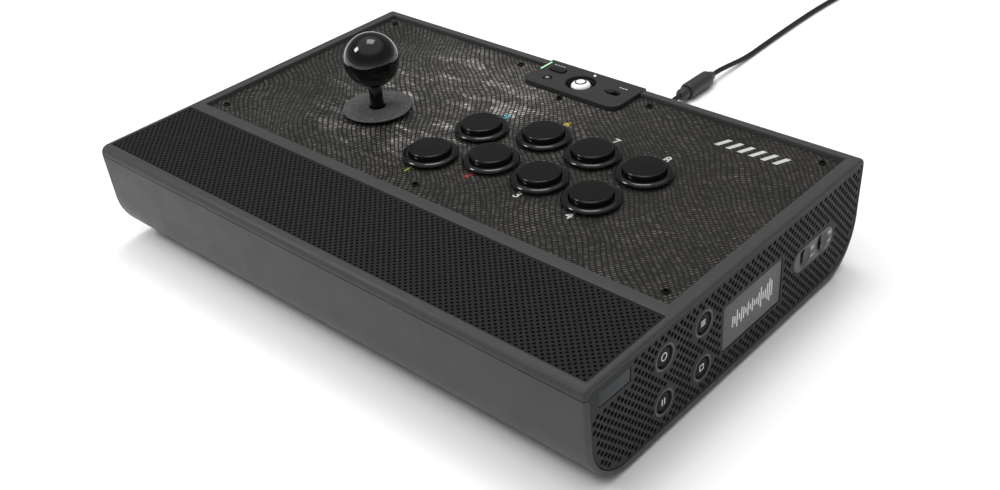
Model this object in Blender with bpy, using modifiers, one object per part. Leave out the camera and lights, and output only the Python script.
"""Arcade joystick panel: a wide desk-top case with a ball-top stick, eight push buttons,
a palm mat, a rear control module, perforated side panels and a free USB cord.

Metres, +Z up. The feet stand on z = 0, +X is the user's right and +Y is the rear.
"""

import math

import bmesh
import bpy
from mathutils import Matrix

# ------------------------------------------------------------------ driving dimensions
GAP = 0.0003                # clearance between touching pieces
HALF_W = 0.193              # half the case's width
FRONT_Y = -0.127            # front and rear faces of the case's rim
REAR_Y = 0.130
RIM_Z = 0.0705              # top face of the case's rim
SEAM_Z = 0.0650             # joint between the lid frame and the lower shell
CASE_BOTTOM = 0.0010        # underside of the case's two ends
RECESS_Z = 0.0061           # underside between the ends
RECESS_HALF_W = 0.162
WALL = 0.0025
KNEE_Z = 0.036              # where the front and rear walls start to curve under
FRONT_ARC = 0.0345
REAR_ARC = 0.028
LEAN = 0.0015               # how far the walls lean in between top and knee
END_ROUND = 0.0026          # rounding of the case's upright corners

PANEL_X = (0.1902, 0.1926)  # a side panel's inner and outer faces
PANEL_FRONT = -0.1236
PANEL_REAR = 0.1268
PANEL_BOTTOM = 0.0068
PANEL_TOP = 0.0675
PANEL_ARC = 0.027

COVER_HALF_W = 0.184
COVER_Y = (-0.0505, 0.1224)
COVER_Z = (0.0680, 0.0692)
ART_Z = (0.0674, 0.0677)
PLATE_Z = (0.0651, 0.0671)
MAT_HALF_W = 0.1885
MAT_Y = (-0.1203, -0.0593)
MAT_Z = (0.0683, 0.0699)

MODULE_X = (-0.0365, 0.0405)
MODULE_Y = (0.0960, 0.1296)
MODULE_Z = (0.0663, 0.0709)
MODULE_CORNER = 0.007
GUIDE = (0.0005, 0.1127)    # centres of the module's guide dome, keys and lock slot
OVAL = (-0.0235, 0.1190)
SMALL = (-0.0222, 0.1062)
LOCK = (0.0260, 0.1134)
OVAL_SIZE = (0.0130, 0.0062)
LOCK_SLOT = (0.0107, 0.0050)
LOCK_KNOB = (0.0056, 0.0044)

BUTTONS = {                 # centres of the eight 30 mm push buttons
    "button_1": (-0.0159, -0.0110), "button_2": (0.0185, 0.0051),
    "button_3": (0.0559, 0.0051), "button_4": (0.0933, 0.0051),
    "button_5": (-0.0119, 0.0304), "button_6": (0.0262, 0.0444),
    "button_7": (0.0636, 0.0444), "button_8": (0.1009, 0.0444),
}
BUTTON_HOLE_R = 0.0151
BUTTON_RIM_R = 0.0173
BUTTON_CAP_R = 0.0124

STICK = (-0.0854, 0.0118)   # the lever's axis
PIVOT_Z = 0.052
BALL_Z = 0.1038
BALL_R = 0.0175
SHAFT_R = 0.0035
STICK_HOLE_R = 0.012

FOOT_XY = (0.110, 0.097)
FOOT_R = 0.0072

SIDE_WALL_X = 0.1878         # inner face of the shell's end walls
SIDE_BUTTON_YZ = [(-0.0652, 0.0513), (-0.0318, 0.0513), (-0.0652, 0.0228), (-0.0318, 0.0228)]
DISPLAY_Y = (-0.0130, 0.0430)
DISPLAY_Z = (0.0210, 0.0490)
SWITCH_PLATE = (0.0770, 0.0365)
SWITCH_PLATE_SIZE = (0.042, 0.0145)
SWITCH_Y = (0.0667, 0.0858)
SLOT_SIZE = (0.0034, 0.0100)
ACCESS_Y = (-0.1165, -0.0930)
ACCESS_Z = (0.0550, 0.0633)

CORD_R = 0.0019
CORD_X = -0.0072
GLAND_Z = 0.022
SOCKET_Y = (0.2381, 0.2466)
INLINE_END_Y = 0.2826       # cord end of the in-line plug
COIL_CENTRE = (-0.0371, 0.510)
COIL_PITCH = 0.0039
COIL_MEAN_R = 0.024
PLUG_Z = 0.0060

FULL_TURN = 2.0 * math.pi

# ------------------------------------------------------------------ scene and materials
for old in list(bpy.data.objects):
    bpy.data.objects.remove(old, do_unlink=True)

parts = bpy.data.collections.new("arcade_joystick_panel")
cutters = bpy.data.collections.new("cutters")
bpy.context.scene.collection.children.link(parts)
bpy.context.scene.collection.children.link(cutters)


def material(name, colour, roughness, metallic=0.0, alpha=1.0):
    made = bpy.data.materials.new(name)
    made.use_nodes = True
    shader = made.node_tree.nodes["Principled BSDF"]
    shader.inputs["Base Color"].default_value = (*colour, 1.0)
    shader.inputs["Roughness"].default_value = roughness
    shader.inputs["Metallic"].default_value = metallic
    shader.inputs["Alpha"].default_value = alpha
    made.diffuse_color = (*colour, alpha)
    return made


CASE = material("case_plastic", (0.070, 0.070, 0.072), 0.55)
SIDE = material("side_plastic", (0.045, 0.045, 0.047), 0.60)
COVER = material("clear_cover", (0.20, 0.19, 0.18), 0.12, alpha=0.35)
ART = material("art_sheet", (0.060, 0.056, 0.052), 0.60)
STEEL = material("zinc_steel", (0.55, 0.55, 0.54), 0.35, 1.0)
MAT = material("palm_mat", (0.025, 0.025, 0.026), 0.75)
GLOSS = material("gloss_black", (0.012, 0.012, 0.013), 0.08)
DARK = material("button_black", (0.018, 0.018, 0.019), 0.30)
WHITE = material("guide_white", (0.80, 0.80, 0.80), 0.25)
GREY = material("inset_grey", (0.17, 0.17, 0.175), 0.45)
NYLON = material("white_nylon", (0.62, 0.60, 0.56), 0.50)
RUBBER = material("rubber", (0.015, 0.015, 0.015), 0.80)
BOARD = material("circuit_board", (0.02, 0.11, 0.05), 0.45)
CORD = material("cord_jacket", (0.020, 0.019, 0.018), 0.50)


def add(name, mesh, look, collection=parts):
    made = bpy.data.objects.new(name, mesh)
    collection.objects.link(made)
    if look is not None:
        mesh.materials.append(look)
    return made


def as_cutter(obj):
    """Moves a finished solid to the cutters' collection."""
    parts.objects.unlink(obj)
    cutters.objects.link(obj)
    obj.hide_render = True
    obj.display_type = "WIRE"
    return obj


def combine(obj, tool, operation="DIFFERENCE"):
    as_cutter(tool)
    modifier = obj.modifiers.new(tool.name, "BOOLEAN")
    modifier.operation = operation
    modifier.solver = "EXACT"
    modifier.object = tool


def cut(obj, *tools):
    for tool in tools:
        combine(obj, tool)


def join(obj, *tools):
    for tool in tools:
        combine(obj, tool, "UNION")


# ------------------------------------------------------------------ shape helpers
def box(name, xs, ys, zs, look=None):
    bm = bmesh.new()
    bmesh.ops.create_cube(bm, size=1.0)
    size = [high - low for low, high in (xs, ys, zs)]
    centre = [(high + low) / 2.0 for low, high in (xs, ys, zs)]
    bmesh.ops.transform(bm, matrix=Matrix.LocRotScale(centre, None, size), verts=bm.verts)
    mesh = bpy.data.meshes.new(name)
    bm.to_mesh(mesh)
    bm.free()
    return add(name, mesh, look)


def circle(centre, radius, sides=16):
    """Circle turned by a third of a side, so no two holes in a row share a straight line."""
    angles = [FULL_TURN * (i + 1.0 / 3.0) / sides for i in range(sides)]
    return [(centre[0] + radius * math.cos(a), centre[1] + radius * math.sin(a)) for a in angles]


def arc(centre, radii, start, end, steps):
    """Points on an ellipse's arc; angles in degrees."""
    points = []
    for i in range(steps + 1):
        angle = math.radians(start + (end - start) * i / steps)
        points.append((centre[0] + radii[0] * math.cos(angle),
                       centre[1] + radii[1] * math.sin(angle)))
    return points


def rounded_box(low, high, radius, steps=3):
    """Outline of a rectangle with rounded corners."""
    r = (radius, radius)
    return (arc((high[0] - radius, high[1] - radius), r, 0, 90, steps)
            + arc((low[0] + radius, high[1] - radius), r, 90, 180, steps)
            + arc((low[0] + radius, low[1] + radius), r, 180, 270, steps)
            + arc((high[0] - radius, low[1] + radius), r, 270, 360, steps))


def stadium(centre, size, steps=4):
    radius = min(size) / 2.0 - 0.00001
    half = (size[0] / 2.0, size[1] / 2.0)
    return rounded_box((centre[0] - half[0], centre[1] - half[1]),
                       (centre[0] + half[0], centre[1] + half[1]), radius, steps)


TO_XY = Matrix.Identity(4)
TO_YZ = Matrix(((0, 0, 1, 0), (1, 0, 0, 0), (0, 1, 0, 0), (0, 0, 0, 1)))


def slab(name, outlines, depth, look=None, turn=TO_XY, end_round=0.0, keep_sharp=None):
    """A flat outline with holes, extruded over depth=(low, high) along its normal.

    With end_round, the outer edges of both flat faces are rounded, except those where
    keep_sharp(point) is true at both ends.
    """
    curve = bpy.data.curves.new(name, "CURVE")
    curve.dimensions = "2D"
    curve.fill_mode = "BOTH"
    curve.extrude = (depth[1] - depth[0]) / 2.0
    for outline in outlines:
        spline = curve.splines.new("POLY")
        spline.points.add(len(outline) - 1)
        for point, (u, v) in zip(spline.points, outline):
            point.co = (u, v, 0.0, 1.0)
        spline.use_cyclic_u = True
    guide = bpy.data.objects.new(name + "_outline", curve)
    parts.objects.link(guide)
    bpy.context.view_layer.update()
    evaluated = guide.evaluated_get(bpy.context.evaluated_depsgraph_get())
    mesh = bpy.data.meshes.new_from_object(evaluated)
    bpy.data.objects.remove(guide, do_unlink=True)
    mesh.name = name
    bm = bmesh.new()
    bm.from_mesh(mesh)
    bmesh.ops.remove_doubles(bm, verts=bm.verts, dist=0.000002)
    bmesh.ops.translate(bm, verts=bm.verts, vec=(0.0, 0.0, (depth[0] + depth[1]) / 2.0))
    if end_round:
        edges = []
        for edge in bm.edges:
            flat = [face for face in edge.link_faces if abs(face.normal.z) > 0.9]
            sharp = keep_sharp and all(keep_sharp(v.co) for v in edge.verts)
            if len(flat) == 1 and not sharp:
                edges.append(edge)
        bmesh.ops.bevel(bm, geom=edges, offset=end_round, segments=3, profile=0.5,
                        affect="EDGES")
    bmesh.ops.transform(bm, matrix=turn, verts=bm.verts)
    bm.normal_update()
    bm.to_mesh(mesh)
    bm.free()
    mesh.materials.clear()
    return add(name, mesh, look)


def turned(name, profile, centre, look=None, sides=20, closed=False, along="Z"):
    """A solid of revolution from (radius, height) points, read down its outer side."""
    mesh = bpy.data.meshes.new(name)
    bm = bmesh.new()
    verts = [bm.verts.new((radius, 0.0, height)) for radius, height in profile]
    pairs = list(zip(verts, verts[1:]))
    if closed:
        pairs.append((verts[-1], verts[0]))
    for pair in pairs:
        bm.edges.new(pair)
    bm.to_mesh(mesh)
    bm.free()
    made = add(name, mesh, look)
    made.location = centre
    if along == "Y":
        made.rotation_euler = (math.radians(-90.0), 0.0, 0.0)
    if along == "X":
        made.rotation_euler = (0.0, math.radians(90.0), 0.0)
    screw = made.modifiers.new("turn", "SCREW")
    screw.steps = sides
    screw.render_steps = sides
    screw.use_merge_vertices = True
    screw.merge_threshold = 0.00001
    screw.use_normal_calculate = False
    bpy.context.view_layer.update()
    return made


def smooth(*objects, angle=35.0):
    for obj in objects:
        obj.data.shade_smooth()
        obj.data.set_sharp_from_angle(angle=math.radians(angle))


def tube(name, points, radius, look, resolution=2):
    curve = bpy.data.curves.new(name, "CURVE")
    curve.dimensions = "3D"
    curve.bevel_depth = radius
    curve.bevel_resolution = resolution
    curve.use_fill_caps = True
    spline = curve.splines.new("POLY")
    spline.points.add(len(points) - 1)
    for point, place in zip(spline.points, points):
        point.co = (*place, 1.0)
    made = bpy.data.objects.new(name, curve)
    parts.objects.link(made)
    curve.materials.append(look)
    return made


def smooth_route(points, spacing):
    """Evenly spaced points on a smooth curve through the route's own points."""
    dense = []
    last = len(points) - 1
    for i in range(last):
        before, a, b, after = (points[max(i - 1, 0)], points[i], points[i + 1],
                               points[min(i + 2, last)])
        for step in range(20):
            t = step / 20.0
            dense.append(tuple(
                0.5 * (2 * q + (r - p) * t + (2 * p - 5 * q + 4 * r - s) * t * t
                       + (3 * q - p - 3 * r + s) * t ** 3)
                for p, q, r, s in zip(before, a, b, after)))
    dense.append(points[-1])
    lengths = [0.0]
    for a, b in zip(dense, dense[1:]):
        lengths.append(lengths[-1] + math.dist(a, b))
    count = max(2, round(lengths[-1] / spacing))
    route = []
    j = 0
    for i in range(count + 1):
        target = lengths[-1] * i / count
        while j < len(dense) - 2 and lengths[j + 1] < target:
            j += 1
        t = (target - lengths[j]) / max(lengths[j + 1] - lengths[j], 1e-9)
        route.append(tuple(a + (b - a) * t for a, b in zip(dense[j], dense[j + 1])))
    return route


# ------------------------------------------------------------------ outlines of the case
def case_outline(inset, top, floor=0.0):
    """Side view (y, z) of the lower case inside a wall of thickness inset."""
    bottom = CASE_BOTTOM + inset
    front_a = FRONT_ARC - inset
    rear_a = REAR_ARC - inset
    drop = KNEE_Z - bottom
    points = [(REAR_Y - inset, top), (FRONT_Y + inset, top)]
    points += arc((FRONT_Y + LEAN + FRONT_ARC, KNEE_Z), (front_a, drop), 180, 270, 6)
    points += arc((REAR_Y - LEAN - REAR_ARC, KNEE_Z), (rear_a, drop), 270, 360, 6)
    return [(y, max(z, floor)) for y, z in points]


def panel_outline(grow):
    """Side view (y, z) of a side panel, grown or shrunk all round."""
    front, rear = PANEL_FRONT - grow, PANEL_REAR + grow
    bottom, top = PANEL_BOTTOM - grow, PANEL_TOP + grow
    reach = PANEL_ARC + grow
    drop = KNEE_Z - bottom
    points = arc((rear - 0.002, top - 0.002), (0.002, 0.002), 0, 90, 2)
    points += arc((front + 0.002, top - 0.002), (0.002, 0.002), 90, 180, 2)
    points += arc((front + 0.0012 + reach, KNEE_Z), (reach, drop), 180, 270, 6)
    points += arc((rear - 0.0010 - reach, KNEE_Z), (reach, drop), 270, 360, 6)
    return points


def lid_outline():
    """Side view (y, z) of the lid frame's rim: a large front rounding, a small rear one."""
    front_r, rear_r = 0.0052, 0.003
    return ([(REAR_Y, SEAM_Z)]
            + arc((REAR_Y - rear_r, RIM_Z - rear_r), (rear_r, rear_r), 0, 90, 3)
            + arc((FRONT_Y + front_r, RIM_Z - front_r), (front_r, front_r), 90, 180, 5)
            + [(FRONT_Y, SEAM_Z)])


def module_outline(grow, rear):
    """Plan of the control module: square at the rear, rounded at its front corners."""
    left, right = MODULE_X[0] - grow, MODULE_X[1] + grow
    front = MODULE_Y[0] - grow
    r = MODULE_CORNER
    return (arc((left + r, front + r), (r, r), 180, 270, 5)
            + arc((right - r, front + r), (r, r), 270, 360, 5)
            + [(right, rear), (left, rear)])


# ------------------------------------------------------------------ case
def lower_shell():
    seam_top = SEAM_Z - GAP
    shell = slab("bottom_shell", [case_outline(0.0, seam_top)], (-HALF_W, HALF_W), CASE,
                 TO_YZ, END_ROUND, lambda p: p.y > seam_top - 0.0001)
    floor = RECESS_Z + WALL
    pocket_x = RECESS_HALF_W + WALL
    cut(shell,
        slab("cavity_middle", [case_outline(WALL, RIM_Z, floor)], (-0.170, 0.170), None, TO_YZ),
        slab("cavity_left", [case_outline(WALL, RIM_Z)], (-SIDE_WALL_X, -pocket_x), None, TO_YZ),
        slab("cavity_right", [case_outline(WALL, RIM_Z)], (pocket_x, SIDE_WALL_X), None, TO_YZ),
        box("underside_recess", (-RECESS_HALF_W, RECESS_HALF_W), (-0.2, 0.2), (-0.01, RECESS_Z)))
    for side, name in ((-1, "left"), (1, "right")):
        spans = [sorted((side * a, side * b)) for a, b in ((0.1900, 0.2), (0.186, 0.1905))]
        cut(shell,
            slab("panel_seat_" + name, [panel_outline(GAP)], spans[0], None, TO_YZ),
            slab("panel_window_" + name, [panel_outline(-0.006)], spans[1], None, TO_YZ))
    cut(shell, turned("gland_hole", [(0.0, 0.135), (0.0043, 0.135), (0.0043, 0.115), (0.0, 0.115)],
                      (CORD_X, 0.0, GLAND_Z), sides=16, along="Y"))
    for i, (x, y) in enumerate(((0.045, 0.03), (0.125, 0.03), (0.045, 0.095), (0.125, 0.095))):
        join(shell, turned("board_post_%d" % i,
                           [(0.0, 0.0138), (0.003, 0.0138), (0.003, 0.007), (0.0, 0.007)],
                           (x, y, 0.0), sides=10))
    smooth(shell)
    return shell


def lid_frame():
    frame = slab("top_frame", [lid_outline()], (-HALF_W, HALF_W), CASE, TO_YZ, END_ROUND,
                 lambda p: p.y < SEAM_Z + 0.0001)
    join(frame, box("lid_tray", (-0.1872, 0.1872), (-0.1236, 0.1266), (0.0605, 0.0660)))
    for side, name in ((-1, "left"), (1, "right")):
        cut(frame, slab("lid_panel_seat_" + name, [panel_outline(GAP)],
                        sorted((side * 0.1900, side * 0.2)), None, TO_YZ))
    ledge = PLATE_Z[0] - GAP
    cut(frame,
        box("cover_opening", (-0.181, 0.181), (-0.0475, 0.1194), (0.05, 0.08)),
        box("cover_pocket", (-COVER_HALF_W - GAP, COVER_HALF_W + GAP),
            (COVER_Y[0] - GAP, COVER_Y[1] + GAP), (ledge, 0.08)),
        slab("mat_pocket", [rounded_box((-MAT_HALF_W - GAP, MAT_Y[0] - GAP),
                                        (MAT_HALF_W + GAP, MAT_Y[1] + GAP), 0.002)],
             (MAT_Z[0] - GAP, 0.08)),
        box("module_well", (MODULE_X[0] + 0.0025, MODULE_X[1] - 0.0025), (0.1100, 0.1228),
            (0.05, 0.08)),
        box("palm_cavity", (-0.184, 0.184), (-0.1200, -0.0575), (0.05, 0.0655)),
        slab("module_notch", [module_outline(GAP, 0.14)], (MODULE_Z[0] - GAP, 0.08)))
    smooth(frame)
    return frame


def side_panels():
    """Both perforated side panels; the right one carries buttons, display and switches."""
    openings = [
        rounded_box((DISPLAY_Y[0] - GAP, DISPLAY_Z[0] - GAP),
                    (DISPLAY_Y[1] + GAP, DISPLAY_Z[1] + GAP), 0.0008, 2),
        stadium(SWITCH_PLATE, [s + 2 * GAP for s in SWITCH_PLATE_SIZE]),
    ]
    openings += [circle(place, 0.0062, 18) for place in SIDE_BUTTON_YZ]
    right = slab("side_panel_right", [panel_outline(0.0)] + openings, PANEL_X, SIDE, TO_YZ)
    cut(right, slab("access_recess", [rounded_box((ACCESS_Y[0], ACCESS_Z[0]),
                                                  (ACCESS_Y[1], ACCESS_Z[1]), 0.0008, 2)],
                    (PANEL_X[1] - 0.0010, 0.2), None, TO_YZ))
    slab("side_panel_left", [panel_outline(0.0)], (-PANEL_X[1], -PANEL_X[0]), SIDE, TO_YZ)


def covers():
    """Clear cover, printed art sheet, steel mounting plate and palm mat."""
    layers = (("clear_cover", COVER_Z, COVER, 0.0), ("art_sheet", ART_Z, ART, 0.0002),
              ("mounting_plate", PLATE_Z, STEEL, 0.0004))
    for name, depth, look, inset in layers:
        left, right = -COVER_HALF_W + inset, COVER_HALF_W - inset
        front, rear = COVER_Y[0] + inset, COVER_Y[1] - inset
        notch = module_outline(GAP + 0.0001, rear)
        outline = [(right, rear), (right, front), (left, front), (left, rear)]
        outline += [notch[-1]] + notch[:-1]
        holes = [circle(place, BUTTON_HOLE_R) for place in BUTTONS.values()]
        holes.append(circle(STICK, STICK_HOLE_R))
        slab(name, [outline] + holes, depth, look)
    slab("palm_mat", [rounded_box((-MAT_HALF_W, MAT_Y[0]), (MAT_HALF_W, MAT_Y[1]), 0.002)],
         MAT_Z, MAT)


def feet():
    for i, (sx, sy) in enumerate(((-1, -1), (1, -1), (-1, 1), (1, 1))):
        top = RECESS_Z - GAP
        smooth(turned("foot_%d" % (i + 1),
                      [(0.0, top), (FOOT_R, top), (FOOT_R, 0.0008), (FOOT_R - 0.0008, 0.0),
                       (0.0, 0.0)],
                      (sx * FOOT_XY[0], sy * FOOT_XY[1], 0.0), RUBBER))


def side_insets():
    slab("display_plate",
         [rounded_box((DISPLAY_Y[0], DISPLAY_Z[0]), (DISPLAY_Y[1], DISPLAY_Z[1]), 0.0006, 2)],
         (PANEL_X[0], 0.1924), GREY, TO_YZ)
    slots = [stadium((y, SWITCH_PLATE[1]), SLOT_SIZE, 3) for y in SWITCH_Y]
    slab("switch_plate", [stadium(SWITCH_PLATE, SWITCH_PLATE_SIZE)] + slots,
         (PANEL_X[0], 0.1928), GREY, TO_YZ)
    knob = (SLOT_SIZE[0] - 2 * GAP, 0.0044)
    reach = (SLOT_SIZE[1] - knob[1]) / 2.0 - GAP
    for name, y, place in (("side_switch_front", SWITCH_Y[0], 1),
                           ("side_switch_rear", SWITCH_Y[1], -1)):
        centre = (y, SWITCH_PLATE[1] + place * reach)
        smooth(slab(name, [stadium(centre, knob, 3)], (0.1860, 0.1929), DARK, TO_YZ))
    for i, (y, z) in enumerate(SIDE_BUTTON_YZ):
        smooth(turned("side_button_%d" % (i + 1),
                      [(0.0, 0.1921), (0.0050, 0.1921), (0.0058, 0.1915), (0.0058, 0.1880),
                       (0.0030, 0.1880), (0.0030, 0.1840), (0.0, 0.1840)],
                      (0.0, y, z), DARK, 16, along="X"))


# ------------------------------------------------------------------ push buttons
def push_button(name, place):
    top = COVER_Z[1]
    rim = arc((0.0150, 0.0007), (BUTTON_RIM_R - 0.0150, 0.0019), 90, 0, 3)
    housing = turned(name + "_housing",
                     [(0.0128, 0.0021)] + rim
                     + [(BUTTON_RIM_R, GAP), (0.0146, GAP), (0.0146, -0.0200), (0.0, -0.0200),
                        (0.0, -0.0180), (0.0128, -0.0180)],
                     (place[0], place[1], top), DARK, closed=True)
    switch = box(name + "_switch", (place[0] - 0.010, place[0] + 0.010),
                 (place[1] - 0.0032, place[1] + 0.0032), (top - 0.0265, top - 0.0195))
    join(housing, switch)
    plunger = turned(name + "_plunger",
                     [(0.0, 0.0056), (0.0070, 0.0055), (0.0112, 0.0052), (BUTTON_CAP_R, 0.0043),
                      (BUTTON_CAP_R, -0.0090), (0.0110, -0.0090), (0.0110, 0.0026),
                      (0.0030, 0.0026), (0.0030, -0.0145), (0.0, -0.0145)],
                     (place[0], place[1], top), GLOSS)
    smooth(housing, plunger)


# ------------------------------------------------------------------ joystick
def at_stick(z):
    return (STICK[0], STICK[1], z)


def joystick_fixed():
    """Lever body under the plate, its switch board and its square gate."""
    x, y = STICK
    flange = box("stick_housing", (x - 0.048, x + 0.048), (y - 0.032, y + 0.032),
                 (0.0609, PLATE_Z[0] - GAP), DARK)
    join(flange, box("lever_block", (x - 0.032, x + 0.032), (y - 0.032, y + 0.032),
                     (0.034, 0.0620)))
    cut(flange, box("lever_cavity", (x - 0.029, x + 0.029), (y - 0.029, y + 0.029),
                    (0.030, 0.0580)))
    join(flange, turned("pivot_tower", [(0.0, 0.0590), (0.0140, 0.0590), (0.0140, 0.0450),
                                        (0.0, 0.0450)], at_stick(0.0)))
    cut(flange, turned("pivot_bore", [(0.0, 0.0660), (0.0112, 0.0660), (0.0112, 0.0400),
                                      (0.0, 0.0400)], at_stick(0.0)))
    board = slab("stick_switch_board",
                 [rounded_box((x - 0.028, y - 0.028), (x + 0.028, y + 0.028), 0.002),
                  circle(STICK, 0.0125, 16)], (0.0404, 0.0420), BOARD)
    for i in range(4):
        along, across = (0.0060, 0.0095) if i % 2 == 0 else (0.0095, 0.0060)
        angle = FULL_TURN * i / 4.0
        cx, cy = x + 0.0196 * math.cos(angle), y + 0.0196 * math.sin(angle)
        half = (along / 2.0, across) if i % 2 == 0 else (along, across / 2.0)
        join(board, box("microswitch_%d" % i, (cx - half[0], cx + half[0]),
                        (cy - half[1], cy + half[1]), (0.0345, 0.0410)))
    slab("stick_gate",
         [rounded_box((x - 0.032, y - 0.032), (x + 0.032, y + 0.032), 0.003),
          rounded_box((x - 0.0072, y - 0.0072), (x + 0.0072, y + 0.0072), 0.0010, 2)],
         (0.0300, 0.0337), NYLON)


def joystick_moving():
    """Pivot cup, shaft with its pivot ball, sleeve, ball top, spring and actuator."""
    cup = arc((0.0, 0.0), (0.0083, 0.0083), -36, 36, 4)
    rim = arc((0.0, 0.0), (0.0106, 0.0106), 28, -28, 4)
    turned("stick_pivot_cup", rim + cup, at_stick(PIVOT_Z), NYLON, closed=True)
    bottom, top = 0.0285, 0.0990
    ball = arc((0.0, PIVOT_Z), (0.0080, 0.0080), 62, -62, 7)
    turned("stick_shaft",
           [(0.0, top), (SHAFT_R - 0.0005, top), (SHAFT_R, top - 0.0005)] + ball
           + [(SHAFT_R, bottom), (0.0, bottom)], at_stick(0.0), STEEL, 16)
    turned("stick_sleeve",
           [(SHAFT_R + GAP, 0.0864), (0.0046, 0.0864), (0.0046, 0.0620),
            (SHAFT_R + GAP, 0.0620)], at_stick(0.0), DARK, 16, closed=True)
    reach = BALL_R
    bore = SHAFT_R + GAP
    foot = -math.degrees(math.acos(0.0060 / reach))
    turned("ball_top",
           arc((0.0, BALL_Z), (reach, reach), 90, foot, 9)
           + [(bore, BALL_Z + reach * math.sin(math.radians(foot))), (bore, top + GAP),
              (0.0, top + GAP)], at_stick(0.0), GLOSS, 24)
    turned("stick_actuator",
           [(SHAFT_R + GAP, 0.0393), (0.0060, 0.0393), (0.0095, 0.0380), (0.0095, 0.0357),
            (SHAFT_R + GAP, 0.0357)], at_stick(0.0), NYLON, closed=True)
    turns, low, high = 4, 0.0402, 0.0450
    steps = 8 * turns
    coil = []
    for i in range(steps + 1):
        angle = FULL_TURN * i / 8.0
        coil.append((STICK[0] + 0.0056 * math.cos(angle), STICK[1] + 0.0056 * math.sin(angle),
                     low + (high - low) * i / steps))
    tube("stick_spring", coil, 0.0005, STEEL, 1)
    turned("slip_washer",
           [(0.0086, 0.0704), (0.0165, 0.0704), (0.0165, 0.0695), (0.0086, 0.0695)],
           at_stick(0.0), DARK, 24, closed=True)
    turned("dust_washer",
           [(0.0053, 0.0718), (0.0217, 0.0718), (0.0222, 0.0713), (0.0222, 0.0707),
            (0.0053, 0.0707)], at_stick(0.0), DARK, 32, closed=True)
    smooth(*[bpy.data.objects[name] for name in
             ("stick_pivot_cup", "stick_shaft", "stick_sleeve", "ball_top", "stick_actuator",
              "slip_washer", "dust_washer")])


# ------------------------------------------------------------------ control module
def control_module():
    holes = [circle(GUIDE, 0.0083), stadium(OVAL, [s + 2 * GAP for s in OVAL_SIZE]),
             circle(SMALL, 0.0031, 12), stadium(LOCK, LOCK_SLOT)]
    housing = slab("module_housing", [module_outline(0.0, MODULE_Y[1])] + holes, MODULE_Z, CASE)
    cut(housing, turned("guide_recess", [(0.0, 0.08), (0.0103, 0.08), (0.0095, 0.0699),
                                         (0.0, 0.0699)], (GUIDE[0], GUIDE[1], 0.0)))
    guide = turned("guide_button",
                   arc((0.0, 0.0684), (0.0080, 0.0040), 90, 0, 4)
                   + [(0.0080, 0.0654), (0.0094, 0.0654), (0.0094, 0.0640), (0.0, 0.0640)],
                   (GUIDE[0], GUIDE[1], 0.0), WHITE)
    small = turned("small_button",
                   [(0.0, 0.0711), (0.0022, 0.0711), (0.0028, 0.0706), (0.0028, 0.0620),
                    (0.0, 0.0620)], (SMALL[0], SMALL[1], 0.0), DARK, 12)
    oval = slab("oval_button", [stadium(OVAL, OVAL_SIZE)], (0.0620, 0.0721), DARK)
    lock = slab("lock_slider", [stadium((LOCK[0] - 0.0022, LOCK[1]), LOCK_KNOB)],
                (0.0620, 0.0716), DARK)
    smooth(guide, small, oval, lock)


def main_board():
    """Circuit board on four posts, with its USB header and controller."""
    low, high = 0.0141, 0.0157
    board = box("main_board", (0.040, 0.130), (0.025, 0.100), (low, high), BOARD)
    join(board, box("usb_header", (0.060, 0.074), (0.084, 0.0985), (0.0150, 0.0220)),
         box("controller_chip", (0.080, 0.096), (0.050, 0.066), (0.0150, 0.0172)))


# ------------------------------------------------------------------ cord
def cord_gland():
    smooth(turned("cord_gland",
                  [(0.0, 0.1530), (0.0026, 0.1530), (0.0037, 0.1340), (0.0060, 0.1333),
                   (0.0060, 0.1303), (0.0040, 0.1303), (0.0040, 0.1230), (0.0, 0.1230)],
                  (CORD_X, 0.0, GLAND_Z), RUBBER, 16, along="Y"))


LEAD_ROUTE = [(CORD_X, 0.1534, 0.0220), (CORD_X, 0.1610, 0.0216), (CORD_X, 0.1690, 0.0176),
              (CORD_X, 0.1800, 0.0092), (CORD_X, 0.1915, 0.0038), (CORD_X, 0.2035, 0.0022),
              (CORD_X, 0.2150, 0.0034), (CORD_X, 0.2280, 0.0062), (CORD_X, 0.2377, 0.0064)]
TAIL_ROUTE = [(CORD_X, 0.2830, 0.0064), (CORD_X, 0.2926, 0.0062), (CORD_X, 0.3066, 0.0048),
              (CORD_X, 0.3216, 0.0031), (-0.0075, 0.3380, 0.0021), (-0.0082, 0.3600, 0.0021),
              (-0.0090, 0.3900, 0.0021), (-0.0094, 0.4300, 0.0021), (-0.0086, 0.4600, 0.0021),
              (CORD_X, 0.4800, 0.0022), (CORD_X, 0.4934, 0.0025)]


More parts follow.
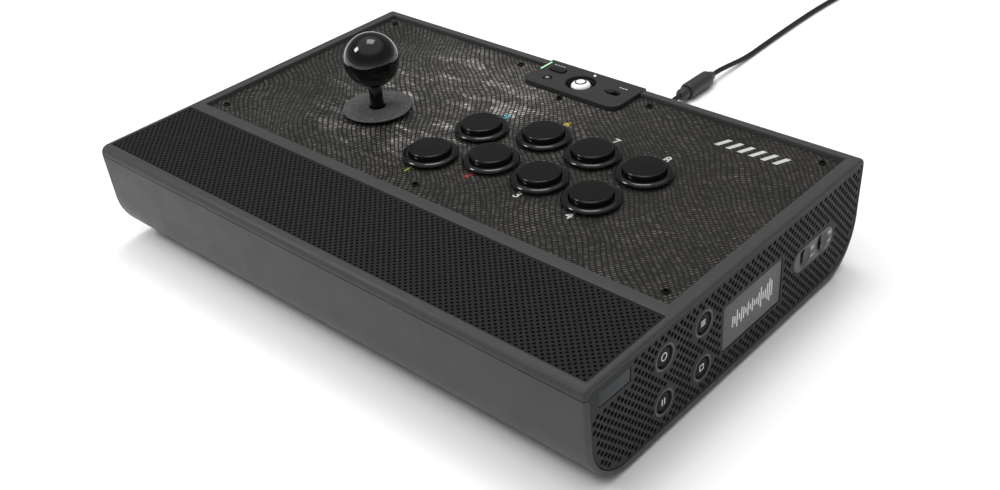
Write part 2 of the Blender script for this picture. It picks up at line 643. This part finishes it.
def cord():
    tube("cord_lead", smooth_route(LEAD_ROUTE, 0.0085), CORD_R, CORD)
    axis = (CORD_X, 0.0, 0.0064)
    near, far = SOCKET_Y
    smooth(turned("breakaway_socket",
                  [(0.0, far), (0.0043, far), (0.0046, far - 0.0010), (0.0046, near + 0.0020),
                   (0.0028, near), (0.0, near)], axis, CORD, along="Y"))
    start, end = far + GAP, INLINE_END_Y
    smooth(turned("breakaway_plug",
                  [(0.0, end), (0.0024, end), (0.0036, end - 0.0024), (0.0058, end - 0.0080),
                   (0.0062, end - 0.0100), (0.0062, start + 0.0022), (0.0050, start),
                   (0.0, start)],
                  axis, CORD, along="Y"))
    tube("cord_tail", smooth_route(TAIL_ROUTE, 0.0085), CORD_R, CORD)
    half = COIL_PITCH * 1.5 + CORD_R + 0.0002
    inner, outer = COIL_MEAN_R - half, COIL_MEAN_R + half
    low, high = 0.0001, 0.0001 + 2.0 * half
    turned("cord_coil", [(inner, high), (outer, high), (outer, low), (inner, low)],
           (*COIL_CENTRE, 0.0), CORD, 28, closed=True)
    smooth(bpy.data.objects["cord_coil"])
    usb_plug()


def usb_plug():
    """Overmoulded USB plug beside the coil, its cable end towards the coil's tangent."""
    x = COIL_CENTRE[0] - COIL_MEAN_R - 1.5 * COIL_PITCH
    start = COIL_CENTRE[1] - 0.0163
    plug = slab("usb_plug", [rounded_box((x - 0.0080, start - 0.0330), (x + 0.0080, start - 0.0080),
                                         0.0025)], (PLUG_Z - 0.0046, PLUG_Z + 0.0046), CORD)
    join(plug,
         turned("plug_neck", [(0.0, start), (0.0024, start), (0.0036, start - 0.0090),
                              (0.0, start - 0.0090)], (x, 0.0, PLUG_Z), sides=12, along="Y"),
         box("plug_shell", (x - 0.0060, x + 0.0060), (start - 0.0450, start - 0.0320),
             (PLUG_Z - 0.00225, PLUG_Z + 0.00225)))


# ------------------------------------------------------------------ build
lower_shell()
lid_frame()
side_panels()
covers()
feet()
side_insets()
for button_name, button_place in BUTTONS.items():
    push_button(button_name, button_place)
joystick_fixed()
joystick_moving()
control_module()
main_board()
cord_gland()
cord()
bpy.context.view_layer.update()
